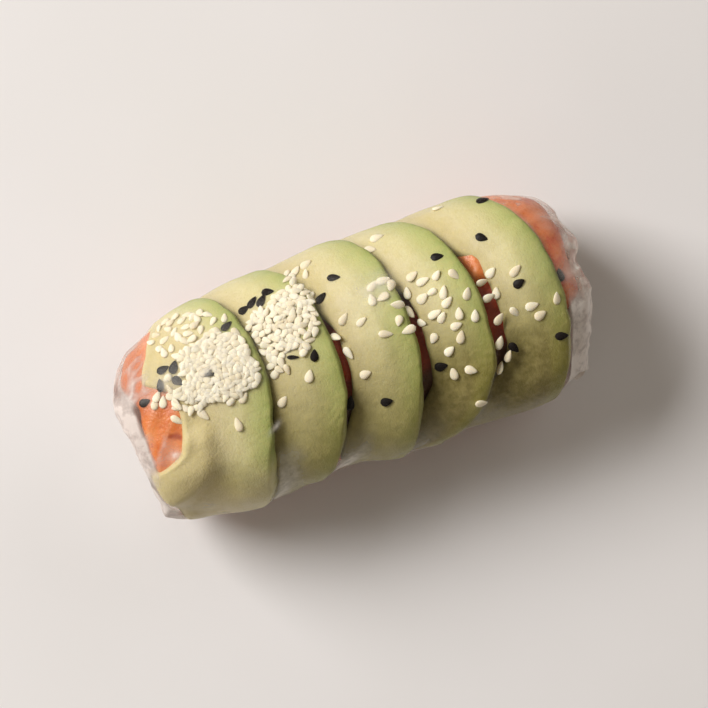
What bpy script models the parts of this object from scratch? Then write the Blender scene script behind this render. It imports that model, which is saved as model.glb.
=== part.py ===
"""Rice paper roll: a core of salmon, five fanned avocado slices laid over it, and one sheet of
soaked rice paper rolled round them one and a quarter times, with both ends folded in. It lies seam
down.

Frame: +X along the roll, +Y to its far side (the near side, where the sheet's free edge lies low
down, is -Y), +Z up, origin in the middle of the flat that the roll rests on. Metres.

A place in the roll is given by three numbers: x along it, psi round it (degrees from the top,
positive towards the near side), and depth below the sheet's innermost layer.
"""
import math

import bmesh
import bpy

MM = 0.001

# ---------------------------------------------------------------- sizes, in mm
HALF_LENGTH = 53.8        # middle of the sheet, from the roll's middle to each end
FAR_HALF = 26.2           # sideways radius of the innermost layer, far side and near side
NEAR_HALF = 25.2
CROWN = 23.1              # radius upwards
SOLE = 20.0               # radius downwards, before the weight flattens it
AXIS_HEIGHT = 20.8       # height of the roll's axis
CROWN_POWER = 2.1         # superellipse powers of the upper and lower half of the section
SOLE_POWER = 2.8

SHEET_THICKNESS = 0.5
LAYER_SPACING = 0.85      # from one turn of the sheet to the next
SHEET_START = 205.0       # psi of the edge inside, under the far side
SHEET_TURN = 455.0        # how far it runs round: bottom, near side, top, far side, bottom and up to
                          # its free edge, low on the near side
END_HOLE = 2.6            # the folded ends leave a small dimple open
SOLE_LENGTH = 23.0        # half sizes of the flat that the roll rests on, at whose four corners it
SOLE_WIDTH = 6.0          # bears; the flat's sides are lifted clear by a hair between them
SOLE_MARGIN = 2.5
SIDE_LIFT = 0.04
OUTER_LIFT = 0.15         # the sheet round the flat stays this far off the table

# how square the ends are in each direction (superellipse powers): near side, far side, up and down
LEFT_END = {"near": 7.0, "far": 3.5, "up": 6.5}
RIGHT_END = {"near": 6.5, "far": 5.0, "up": 6.0}

# soft swells (+) and hollows (-) of the roll: x, psi, reach along, reach round, amount
SWELLS = ((-29.0, 42.0, 8.0, 20.0, 1.5), (-43.0, 80.0, 6.0, 28.0, -1.0), (-19.0, 88.0, 7.0, 26.0, -1.6), (-6.0, 88.0, 5.0, 26.0, -1.2),
          (1.0, -88.0, 6.0, 24.0, 0.6), (38.0, -80.0, 8.0, 26.0, 0.5))

FILLING_LEFT = 51.0       # the salmon ends short of the sheet on the left and fills the right end,
FILLING_RIGHT = 53.2      # but for its near side
FILLING_RECESS = 7.0
FILLING_DEPTH = 0.95      # where it lies against the sheet
BED_DEPTH = 7.3           # where it carries the avocado

SCALLOP = 0.9             # how far each slice's thick edge pushes the sheet out

# Avocado slices. Each is a crescent across the roll. crown: x of its thick outer edge on top;
# lean: psi at which that edge lies furthest right; far and near: how far the edge has come back 60
# degrees past the lean on each side, with the curve's power, and stop: the psi where it runs straight
# on; middle: width over the top; wide_far/_near: from which psi it widens, where its shoulder is, and
# the width there; tip_far/_near: psi of the tips; taper_far/_near: how it narrows to the tip (powers
# a, b of (1 - t^a)^b).
SLICES = {
    "avocado_1": dict(crown=-19.4, lean=-5, far=(6.2, 2.35), near=(6.25, 1.1), stop=180, middle=21.3,
                      wide_far=(14, 30, 26.7), tip_far=114, taper_far=(1.1, 1.0),
                      wide_near=(17, 40, 33.0), tip_near=114, taper_near=(2.0, 0.8)),
    "avocado_2": dict(crown=-3.3, lean=-4, far=(5.5, 2.3), near=(7.3, 1.9), stop=180, middle=17.4,
                      wide_far=(16, 36, 18.5), tip_far=112, taper_far=(3.0, 0.7),
                      wide_near=(18, 40, 19.0), tip_near=106, taper_near=(2.0, 0.7)),
    "avocado_3": dict(crown=14.1, lean=7, far=(2.55, 3.25), near=(7.6, 1.35), stop=180, middle=16.1,
                      wide_far=(16, 36, 17.8), tip_far=112, taper_far=(3.0, 0.7),
                      wide_near=(12, 40, 17.9), tip_near=110, taper_near=(2.0, 0.7)),
    "avocado_4": dict(crown=30.5, lean=-9, far=(8.35, 1.75), near=(5.7, 3.35), stop=74, middle=14.6,
                      wide_far=(16, 36, 16.8), tip_far=112, taper_far=(3.0, 0.7),
                      wide_near=(24, 40, 16.3), tip_near=106, taper_near=(2.0, 0.6)),
    "avocado_5": dict(crown=48.5, lean=-1, far=(6.3, 2.15), near=(4.85, 1.85), stop=180, middle=14.9,
                      wide_far=(16, 34, 18.8), tip_far=114, taper_far=(3.0, 0.7),
                      wide_near=(34, 66, 24.0), tip_near=114, taper_near=(2.0, 0.6)),
}
SLICE_LEFT = 51.0         # the first slice runs out to here on the left, and turns in near its tip
SLICE_TURN_IN = 6.5
PIT_EDGE_DEPTH = 5.5      # middle of a slice's thin edge, tucked under the slice before it
SKIN_EDGE_DEPTH = 2.75    # middle of its thick edge
PIT_EDGE_HALF = 0.8       # half thicknesses
SKIN_EDGE_HALF = 1.9


# ---------------------------------------------------------------- the roll's form
def smooth(low, high, value):
    t = min(1.0, max(0.0, (value - low) / (high - low)))
    return t * t * (3.0 - 2.0 * t)


def bump(value, centre, reach):
    return math.exp(-((value - centre) / reach) ** 2)


def skin_edge(cut, psi):
    """x of a slice's thick edge at the angle psi."""
    turn = psi - cut["lean"]
    if turn < 0.0:
        drop, power = cut["far"]
        return cut["crown"] - drop * (-turn / 60.0) ** power
    drop, power = cut["near"]
    return cut["crown"] - drop * (min(turn, cut["stop"] - cut["lean"]) / 60.0) ** power


def slice_width(cut, psi):
    """Width of a slice at psi, and how far its end has tapered (1 at the middle, 0 at a tip)."""
    side = "far" if psi < 0.0 else "near"
    onset, shoulder, wide = cut["wide_" + side]
    tip, power = cut["tip_" + side], cut["taper_" + side]
    broad = cut["middle"] + (wide - cut["middle"]) * smooth(onset, shoulder, abs(psi))
    past = min(1.0, max(0.0, (abs(psi) - shoulder) / (tip - shoulder)))
    taper = (1.0 - past ** power[0]) ** power[1]
    room = skin_edge(cut, psi) + SLICE_LEFT - SLICE_TURN_IN * smooth(30.0, 90.0, psi)
    return min(broad * taper, room), taper


def scallop(x, psi):
    """Low swell of the sheet over each slice's thick edge."""
    fade = smooth(-95.0, -55.0, psi) * (1.0 - smooth(40.0, 85.0, psi))
    if fade <= 0.0:
        return 0.0
    edges = [skin_edge(cut, max(-90.0, min(80.0, psi))) for cut in SLICES.values()]
    edges = [edges[0] - 22.0] + edges
    for left, right in zip(edges, edges[1:]):
        if left < x <= right + 2.0:
            along = min(1.0, max(0.0, (x - left - 2.0) / (right - left)))
            return SCALLOP * fade * math.sin(math.pi * along ** 1.5) ** 2
    return 0.0


def section_radius(psi):
    """Radius of the innermost layer in the direction psi, in the roll's middle."""
    across, up = math.sin(math.radians(psi)), math.cos(math.radians(psi))
    half = FAR_HALF if across < 0.0 else NEAR_HALF
    reach, power = (CROWN, CROWN_POWER) if up >= 0.0 else (SOLE, SOLE_POWER)
    return ((abs(across) / half) ** power + (abs(up) / reach) ** power) ** (-1.0 / power)


def radius_at(x, psi):
    """The same, with the swells of the food inside."""
    radius = section_radius(psi)
    for x0, psi0, along, around, amount in SWELLS:
        radius += amount * bump(x, x0, along) * bump((psi - psi0 + 180.0) % 360.0, 180.0, around)
    return radius


def end_lean(x, y):
    """How far the folded end at x leans: out on the far side, in on the near side."""
    if x < 0.0:
        return -smooth(42.0, 51.0, -x) * (1.2 * bump(y, 6.0, 4.5) - 0.9 * smooth(0.0, -9.0, y)
                                          + 1.6 * bump(y, -20.5, 2.2))
    return smooth(42.0, 51.0, x) * (1.6 * bump(y, 7.0, 3.0) + 0.9 * bump(y, -2.0, 3.5)
                                    - 3.1 * smooth(-6.0, -18.0, y) + 2.3 * bump(y, -22.4, 1.5))


def end_power(x, psi):
    """How square the roll's end is in the direction psi."""
    end = LEFT_END if x < 0.0 else RIGHT_END
    across = math.sin(math.radians(psi))
    side = end["near"] if across > 0.0 else end["far"]
    return side * across ** 2 + end["up"] * (1.0 - across ** 2)


def place(x, radius, psi):
    """World point, in metres, at a radius from the roll's axis."""
    angle = math.radians(psi)
    return (x * MM, -radius * math.sin(angle) * MM, (AXIS_HEIGHT + radius * math.cos(angle)) * MM)


def meridian(along, power, hole=0.0):
    """Point on the unit superellipse for along from -1 to 1: even steps on the side, then on the end."""
    corner = 0.5 ** (1.0 / power)
    step = abs(along)
    if step < 0.7:
        x = corner * step / 0.7
        radius = (1.0 - x ** power) ** (1.0 / power)
    else:
        radius = corner - (corner - hole) * (step - 0.7) / 0.3
        x = (1.0 - max(0.0, radius) ** power) ** (1.0 / power)
    return math.copysign(x, along), radius


def inside(x, psi, depth):
    """World point at a depth below the innermost layer."""
    end_gap = min(depth, 1.1)
    power = end_power(x, psi)
    reach = min(0.999, abs(x) / (HALF_LENGTH - end_gap))
    base = radius_at(x, psi) + scallop(x, psi) - depth
    return place(x, base * (1.0 - reach ** power) ** (1.0 / power), psi)


# ---------------------------------------------------------------- building blocks
def material(name, colour, roughness, alpha=1.0):
    mat = bpy.data.materials.new(name)
    mat.use_nodes = True
    shader = mat.node_tree.nodes["Principled BSDF"]
    shader.inputs["Base Color"].default_value = (*colour, 1.0)
    shader.inputs["Roughness"].default_value = roughness
    shader.inputs["Metallic"].default_value = 0.0
    shader.inputs["Alpha"].default_value = alpha
    mat.diffuse_color = (*colour, 1.0)
    return mat


def finish(name, mesh_data, mat, collection):
    mesh = bpy.data.meshes.new(name)
    mesh_data.to_mesh(mesh)
    mesh_data.free()
    mesh.materials.append(mat)
    mesh.shade_smooth()
    obj = bpy.data.objects.new(name, mesh)
    collection.objects.link(obj)
    return obj


def face_out(bm):
    """Turn the faces of a closed form outwards."""
    bmesh.ops.recalc_face_normals(bm, faces=bm.faces)
    if bm.calc_volume(signed=True) < 0.0:
        bmesh.ops.reverse_faces(bm, faces=bm.faces)


# ---------------------------------------------------------------- the pieces
def make_sheet(collection, mat):
    """The rice paper: a flat grid rolled up, then given its thickness."""
    bm = bmesh.new()
    bmesh.ops.create_grid(bm, x_segments=28, y_segments=45, size=1.0)
    for vert in bm.verts:
        along, round_part = vert.co.x, (vert.co.y + 1.0) / 2.0
        psi = SHEET_START - SHEET_TURN * round_part
        layer = LAYER_SPACING * SHEET_TURN * round_part / 360.0
        turn = (psi + 180.0) % 360.0 - 180.0
        power = end_power(along, turn)
        base = section_radius(turn)
        fx, fr = meridian(along, power, END_HOLE / base)
        x = fx * (HALF_LENGTH + layer)
        radius = fr * (radius_at(x, turn) + scallop(x, turn) + layer)
        x += end_lean(x, -radius * math.sin(math.radians(turn)))
        px, py, pz = place(x, radius, turn)
        floor = SHEET_THICKNESS / 2.0 + (LAYER_SPACING if round_part < 0.4 else 0.0)
        vert.co = (px, py, max(pz, floor * MM))
    bmesh.ops.recalc_face_normals(bm, faces=bm.faces)
    obj = finish("rice_paper", bm, mat, collection)
    solid = obj.modifiers.new("Thickness", "SOLIDIFY")
    solid.thickness = SHEET_THICKNESS * MM
    solid.offset = 0.0
    solid.use_even_offset = True
    solid.use_quality_normals = True
    return obj


def settle(mesh):
    """The sheet's underside, pressed flat where the roll lies on it."""
    for vert in mesh.vertices:
        x, y = abs(vert.co.x) / MM, abs(vert.co.y) / MM
        if vert.co.z < 0.4 * MM and x < SOLE_LENGTH + SOLE_MARGIN and y < SOLE_WIDTH + SOLE_MARGIN:
            vert.co.z = SIDE_LIFT * MM if (x > SOLE_LENGTH) != (y > SOLE_WIDTH) else 0.0
        elif vert.co.z < OUTER_LIFT * MM:
            vert.co.z = OUTER_LIFT * MM


def make_filling(collection, mat):
    """The salmon core: one solid through the roll, lowered where the avocado lies on it."""
    bm = bmesh.new()
    bmesh.ops.create_uvsphere(bm, u_segments=30, v_segments=26, radius=1.0)
    first, last = SLICES["avocado_1"], SLICES["avocado_5"]
    for vert in bm.verts:
        co = vert.co.normalized()
        along = math.asin(max(-1.0, min(1.0, co.z))) / (math.pi / 2.0)
        psi = math.degrees(math.atan2(co.x, co.y))
        power = end_power(along, psi)
        fx, fr = meridian(along, power)
        aside = -fr * radius_at(fx * HALF_LENGTH, psi) * math.sin(math.radians(psi))
        x = fx * (FILLING_LEFT if fx < 0.0 else FILLING_RIGHT - FILLING_RECESS * smooth(-3.0, -10.0, aside))
        around = [max(-100.0, min(104.0, psi + step)) for step in (-16.0, -8.0, 0.0, 8.0, 16.0)]
        left = min(skin_edge(first, at) - slice_width(first, at)[0] for at in around)
        right = max(skin_edge(last, at) for at in around)
        bed = (smooth(left - 6.0, left - 2.0, x) * (1.0 - smooth(right + 0.8, right + 4.0, x))
               * smooth(-134.0, -118.0, psi) * (1.0 - smooth(122.0, 138.0, psi)))
        depth = FILLING_DEPTH + (BED_DEPTH - FILLING_DEPTH) * bed
        radius = fr * (radius_at(x, psi) + scallop(x, psi) * (1.0 - bed) - depth)
        x += min(0.0, end_lean(x, aside)) if x > 0.0 else max(0.0, end_lean(x, aside))
        vert.co = place(x, radius, psi)
    face_out(bm)
    return finish("filling", bm, mat, collection)


def make_slice(name, cut, collection, mat):
    """One avocado slice: a ball drawn out into a crescent and draped over the roll."""
    bm = bmesh.new()
    bmesh.ops.create_uvsphere(bm, u_segments=14, v_segments=18, radius=1.0)
    middle = (cut["tip_near"] - cut["tip_far"]) / 2.0
    half = (cut["tip_near"] + cut["tip_far"]) / 2.0
    for vert in bm.verts:
        co = vert.co.normalized()
        run = math.asin(max(-1.0, min(1.0, co.z))) / (math.pi / 2.0)
        psi = middle + half * run
        width, taper = slice_width(cut, psi)
        turn = math.atan2(co.y, co.x)
        across = (1.0 - math.cos(turn)) / 2.0               # 0 at the pit edge, 1 at the skin
        thin = 0.45 + 0.55 * taper
        half_thick = (PIT_EDGE_HALF + (SKIN_EDGE_HALF - PIT_EDGE_HALF) * smooth(0.0, 0.7, across)) * thin
        depth = PIT_EDGE_DEPTH + (SKIN_EDGE_DEPTH - PIT_EDGE_DEPTH) * smooth(0.0, 0.9, across)
        lift = math.copysign(abs(math.sin(turn)) ** 0.6, math.sin(turn)) if taper > 0.0 else 0.0
        x = skin_edge(cut, psi) - width * (1.0 - across)
        depth += 0.7 * smooth(40.0, 52.0, abs(x)) - lift * half_thick * (1.0 if taper > 0.0 else 0.0)
        vert.co = inside(x, psi, depth)
    face_out(bm)
    return finish(name, bm, mat, collection)


def main():
    for obj in list(bpy.data.objects):
        bpy.data.objects.remove(obj, do_unlink=True)
    collection = bpy.data.collections.new("rice_paper_roll")
    bpy.context.scene.collection.children.link(collection)

    paper = material("rice_paper", (0.80, 0.76, 0.70), 0.25, alpha=0.35)
    salmon = material("salmon", (0.72, 0.20, 0.08), 0.45)
    flesh = material("avocado", (0.58, 0.57, 0.22), 0.45)

    pieces = [make_filling(collection, salmon)]
    for name, cut in SLICES.items():
        pieces.append(make_slice(name, cut, collection, flesh))
    sheet = make_sheet(collection, paper)
    pieces.append(sheet)

    # give the sheet its thickness for good, then put the origin under the middle of its box
    bpy.context.view_layer.update()
    thick = bpy.data.meshes.new_from_object(sheet.evaluated_get(bpy.context.evaluated_depsgraph_get()))
    sheet.modifiers.clear()
    sheet.data = thick
    thick.name = "rice_paper"
    settle(thick)
    xs = [vert.co.x for vert in thick.vertices]
    ys = [vert.co.y for vert in thick.vertices]
    shift_x, shift_y = -(min(xs) + max(xs)) / 2.0, -(min(ys) + max(ys)) / 2.0
    for piece in pieces:
        for vert in piece.data.vertices:
            vert.co.x += shift_x
            vert.co.y += shift_y
        piece.data.update()


main()
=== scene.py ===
"""Looks of the rice paper roll: salmon core, avocado slices, sesame seeds and the clear wet sheet
drawn tight over them. Sizes below are in mm and are turned into metres where meshes are made.

A place in the roll is x along it, psi round it (degrees from the top, positive towards the near
side, -Y) and depth below the sheet's innermost layer, as in the construction.
"""
import math

import bpy
import numpy as np
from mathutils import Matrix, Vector
from mathutils.bvhtree import BVHTree


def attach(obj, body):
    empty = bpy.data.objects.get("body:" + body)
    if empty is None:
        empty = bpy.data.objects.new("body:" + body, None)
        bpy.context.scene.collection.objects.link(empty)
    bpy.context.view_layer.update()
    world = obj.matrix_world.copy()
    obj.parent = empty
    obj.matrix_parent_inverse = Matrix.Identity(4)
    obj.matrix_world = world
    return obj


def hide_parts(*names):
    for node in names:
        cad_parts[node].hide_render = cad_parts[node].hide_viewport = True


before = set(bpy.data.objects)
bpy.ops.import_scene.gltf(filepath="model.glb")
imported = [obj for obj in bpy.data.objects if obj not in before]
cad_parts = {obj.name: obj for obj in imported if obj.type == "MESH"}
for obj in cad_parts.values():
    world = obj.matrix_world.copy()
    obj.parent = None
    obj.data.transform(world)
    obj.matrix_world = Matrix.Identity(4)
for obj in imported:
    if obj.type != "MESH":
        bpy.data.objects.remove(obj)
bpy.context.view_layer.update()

MM = 0.001
SHIFT = np.array([0.0, -0.57, 0.0])      # the spiral is fuller on its far side; this centres the box

# ---------------------------------------------------------------- the construction's sizes, mm
HALF_LENGTH = 53.8
FAR_HALF, NEAR_HALF = 26.2, 25.2         # half widths from the middle line
CROWN = 23.1
SOLE = 20.0
AXIS_HEIGHT = 20.8
CROWN_POWER = 2.1
SOLE_POWER = 2.8
LAYER_SPACING = 0.85
SHEET_START = 205.0
SHEET_TURN = 455.0
LEFT_END = {"near": 7.0, "far": 3.5, "up": 6.5}      # how square each end is
RIGHT_END = {"near": 6.5, "far": 5.0, "up": 6.0}

# slices: where the skin edge crosses the crown and how it falls back on both sides (a drop at 60
# degrees past the lean, and a power), the width over the middle, and from which angle it widens
SLICES = {
    "avocado_1": dict(crown=-19.4, lean=-5, far=(6.2, 2.35), near=(6.25, 1.1), middle=21.3, spread=0.0,
                      wide_far=(14, 30, 26.7), tip_far=114, taper_far=(1.1, 1.0),
                      wide_near=(17, 40, 33.0), tip_near=114, taper_near=(2.0, 0.8)),
    "avocado_2": dict(crown=-3.3, lean=-4, far=(5.5, 2.3), near=(7.3, 1.9), middle=17.4, spread=0.0,
                      wide_far=(16, 36, 18.5), tip_far=112, taper_far=(3.0, 0.7),
                      wide_near=(18, 40, 19.0), tip_near=106, taper_near=(2.0, 0.7)),
    "avocado_3": dict(crown=14.1, lean=7, far=(2.55, 3.25), near=(7.6, 1.35), middle=16.1, spread=5.0,
                      wide_far=(16, 36, 17.8), tip_far=112, taper_far=(3.0, 0.7),
                      wide_near=(28, 50, 17.9), tip_near=110, taper_near=(2.0, 0.7)),
    "avocado_4": dict(crown=30.5, lean=-9, far=(8.35, 1.75), near=(5.7, 3.35), stop=74, middle=14.6, spread=2.5,
                      wide_far=(22, 40, 16.8), tip_far=112, taper_far=(3.0, 0.7),
                      wide_near=(34, 58, 16.3), tip_near=106, taper_near=(2.0, 0.6)),
    "avocado_5": dict(crown=48.5, lean=-1, far=(6.3, 2.15), near=(4.85, 1.85), middle=14.9, spread=5.5,
                      wide_far=(28, 44, 18.6), tip_far=114, taper_far=(3.0, 0.7),
                      wide_near=(34, 66, 28.0), tip_near=114, taper_near=(2.0, 0.6)),
}

BED = 5.3                 # depth of the salmon under the slices
SALMON_LEFT, SALMON_RIGHT = 49.7, 52.2

# soft swells (+) and hollows (-) of the whole roll: x, psi, reach along, reach round, amount
SWELLS = ((-29.0, 42.0, 8.0, 20.0, 1.5), (-43.0, 80.0, 6.0, 28.0, -1.0), (-19.0, 88.0, 7.0, 26.0, -1.6), (-6.0, 88.0, 5.0, 26.0, -1.2),
          (1.0, -88.0, 6.0, 24.0, 0.6), (38.0, -80.0, 8.0, 26.0, 0.5))


# ---------------------------------------------------------------- the roll's form, on arrays
def smooth(low, high, value):
    t = np.clip((value - low) / (high - low), 0.0, 1.0)
    return t * t * (3.0 - 2.0 * t)


def mix(a, b, t):
    return a + (b - a) * t


def noise(points, size, seed=0):
    """Smooth noise from -1 to 1 at the points, with features of about the given size."""
    p = np.asarray(points, float) / size + 11.7 * (seed + 1)
    cell = np.floor(p).astype(np.int64)
    f = p - cell
    f = f * f * (3.0 - 2.0 * f)
    total = np.zeros(p.shape[:-1])
    for corner in range(8):
        step = np.array([corner & 1, corner >> 1 & 1, corner >> 2 & 1])
        c = (cell + step) & 0xFFFF
        h = (c[..., 0] * 73856093) ^ (c[..., 1] * 19349663) ^ (c[..., 2] * 83492791) ^ (seed * 2654435 + 97)
        h &= 0xFFFFFFFF
        h = ((h ^ (h >> 15)) * 22468225) & 0xFFFFFFFF
        h = ((h ^ (h >> 13)) * 32664899) & 0xFFFFFFFF
        h ^= h >> 16
        weight = np.prod(np.where(step == 1, f, 1.0 - f), axis=-1)
        total += weight * ((h & 0xFFFF) / 32767.5 - 1.0)
    return total


def bump(value, centre, reach):
    return np.exp(-((value - centre) / reach) ** 2)


def skin_edge(cut, psi):
    turn = psi - cut["lean"]
    drop, power = cut["far"]
    far = drop * (np.maximum(-turn, 0.0) / 60.0) ** power
    drop, power = cut["near"]
    turn = np.clip(turn, 0.0, cut.get("stop", 180) - cut["lean"])
    near = drop * (turn / 60.0) ** power
    return cut["crown"] - far - near


def slice_width(cut, psi):
    """A slice's width at psi, and how much of it the taper to the tip leaves."""
    out = []
    away = np.abs(psi)
    for side in ("far", "near"):
        onset, shoulder, wide = cut["wide_" + side]
        broad = mix(cut["middle"], wide, smooth(onset, shoulder, away))
        if side == "far":
            broad = broad + cut["spread"] * smooth(48.0, 80.0, away)
        past = np.clip((away - shoulder) / (cut["tip_" + side] - shoulder), 0.0, 1.0)
        power = cut["taper_" + side]
        taper = (1.0 - past ** power[0]) ** power[1]
        out.append((broad * taper, taper))
    far = psi < 0.0
    return np.where(far, out[0][0], out[1][0]), np.where(far, out[0][1], out[1][1])


def section_radius(psi):
    across, up = np.sin(np.radians(psi)), np.cos(np.radians(psi))
    half = np.where(across < 0.0, FAR_HALF, NEAR_HALF)
    top = (np.abs(across / half) ** CROWN_POWER + np.abs(up / CROWN) ** CROWN_POWER) ** (-1 / CROWN_POWER)
    low = (np.abs(across / half) ** SOLE_POWER + np.abs(up / SOLE) ** SOLE_POWER) ** (-1 / SOLE_POWER)
    return np.where(up >= 0.0, top, low)


def radius_at(x, psi):
    """Radius of the middle part's section, with the swells of the wrapped food."""
    radius = section_radius(psi) + 0.0 * x
    for x0, psi0, along, around, amount in SWELLS:
        radius = radius + amount * bump(x, x0, along) * bump((psi - psi0 + 180.0) % 360.0, 180.0, around)
    return radius


def end_power(x, psi):
    s = np.sin(np.radians(psi))
    left = np.where(s > 0.0, LEFT_END["near"], LEFT_END["far"]) * s ** 2 + LEFT_END["up"] * (1 - s ** 2)
    right = np.where(s > 0.0, RIGHT_END["near"], RIGHT_END["far"]) * s ** 2 + RIGHT_END["up"] * (1 - s ** 2)
    return np.where(x < 0.0, left, right)


def place(x, radius, psi):
    a = np.radians(psi)
    x, radius, a = np.broadcast_arrays(x, radius, a)
    return np.stack([x, -radius * np.sin(a), AXIS_HEIGHT + radius * np.cos(a)], axis=-1) + SHIFT


def end_lean(points):
    """The sheet's folded ends aren't square: they lean out on the far side and in on the near side."""
    x, y = points[..., 0], points[..., 1]
    left = 1.2 * bump(y, 6.0, 4.5) - 0.9 * smooth(0.0, -9.0, y) + 1.6 * bump(y, -20.5, 2.2)
    right = 1.6 * bump(y, 7.0, 3.0) + 0.9 * bump(y, -2.0, 3.5) - 3.1 * smooth(-6.0, -18.0, y) + 2.3 * bump(y, -22.4, 1.5)
    moved = points.copy()
    moved[..., 0] += np.where(x < 0.0, -left * smooth(42.0, 51.0, -x), right * smooth(42.0, 51.0, x))
    return moved


def meridian(along, power, hole=0.0):
    corner = 0.5 ** (1.0 / power)
    step = np.abs(along)
    side_x = corner * np.minimum(step, 0.7) / 0.7
    side_r = (1.0 - side_x ** power) ** (1.0 / power)
    end_r = np.clip(corner - (corner - hole) * (step - 0.7) / 0.3, 0.0, corner)
    end_x = (1.0 - end_r ** power) ** (1.0 / power)
    on_side = step < 0.7
    return np.sign(along) * np.where(on_side, side_x, end_x), np.where(on_side, side_r, end_r)


def film_form(along, psi):
    """The smooth form the sheet is drawn over, the folded ends included."""
    fx, fr = meridian(along, end_power(along, psi), 0.5 / section_radius(psi))
    x = fx * HALF_LENGTH
    return end_lean(place(x, fr * radius_at(x, psi), psi))


def inside(x, psi, depth):
    end_gap = np.clip(depth, 0.3, 0.8)
    power = end_power(x, psi)
    reach = np.minimum(0.9985, np.abs(x) / (HALF_LENGTH - end_gap))
    base = radius_at(x, psi) - depth
    return place(x, base * (1.0 - reach ** power) ** (1.0 / power), psi)


# ---------------------------------------------------------------- meshes
def new_object(name, verts, quads, tris=(), attributes=None):
    """A smooth mesh object from arrays, in metres."""
    verts = np.asarray(verts, dtype=np.float32).reshape(-1, 3) * MM
    mesh = bpy.data.meshes.new(name)
    quads = np.asarray(quads, dtype=np.int32).reshape(-1, 4)
    tris = np.asarray(tris, dtype=np.int32).reshape(-1, 3)
    loops = np.concatenate([quads.ravel(), tris.ravel()])
    starts = np.concatenate([np.arange(len(quads)) * 4, len(quads) * 4 + np.arange(len(tris)) * 3])
    mesh.vertices.add(len(verts))
    mesh.vertices.foreach_set("co", verts.ravel())
    mesh.loops.add(len(loops))
    mesh.loops.foreach_set("vertex_index", loops)
    mesh.polygons.add(len(starts))
    mesh.polygons.foreach_set("loop_start", starts.astype(np.int32))
    mesh.update(calc_edges=True)
    mesh.validate()
    mesh.shade_smooth()
    for key, values in (attributes or {}).items():
        layer = mesh.attributes.new(key, "FLOAT", "POINT")
        layer.data.foreach_set("value", np.asarray(values, dtype=np.float32).ravel())
    obj = bpy.data.objects.new(name, mesh)
    bpy.context.scene.collection.objects.link(obj)
    return obj


def ball_faces(rings, round_count):
    """Faces of a closed form: rings of round_count points, then the first and the last pole."""
    i = np.arange(round_count)
    j = np.roll(i, -1)
    quads = []
    for r in range(rings - 1):
        a, b = r * round_count, (r + 1) * round_count
        quads.append(np.stack([a + i, a + j, b + j, b + i], axis=1))
    first, last = rings * round_count, rings * round_count + 1
    end = (rings - 1) * round_count
    tris = np.concatenate([
        np.stack([np.full(round_count, first), j, i], axis=1),
        np.stack([np.full(round_count, last), end + i, end + j], axis=1)])
    return np.concatenate(quads), tris


def outward(verts, quads, tris):
    """Flips the faces if the closed form is inside out."""
    v = np.asarray(verts)
    volume = 0.0
    for a, b, c in ((0, 1, 2), (0, 2, 3)):
        p, q, r = v[quads[:, a]], v[quads[:, b]], v[quads[:, c]]
        volume += np.einsum("ij,ij->i", p, np.cross(q, r)).sum()
    p, q, r = v[tris[:, 0]], v[tris[:, 1]], v[tris[:, 2]]
    volume += np.einsum("ij,ij->i", p, np.cross(q, r)).sum()
    if volume < 0.0:
        return quads[:, ::-1], tris[:, ::-1]
    return quads, tris


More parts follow.
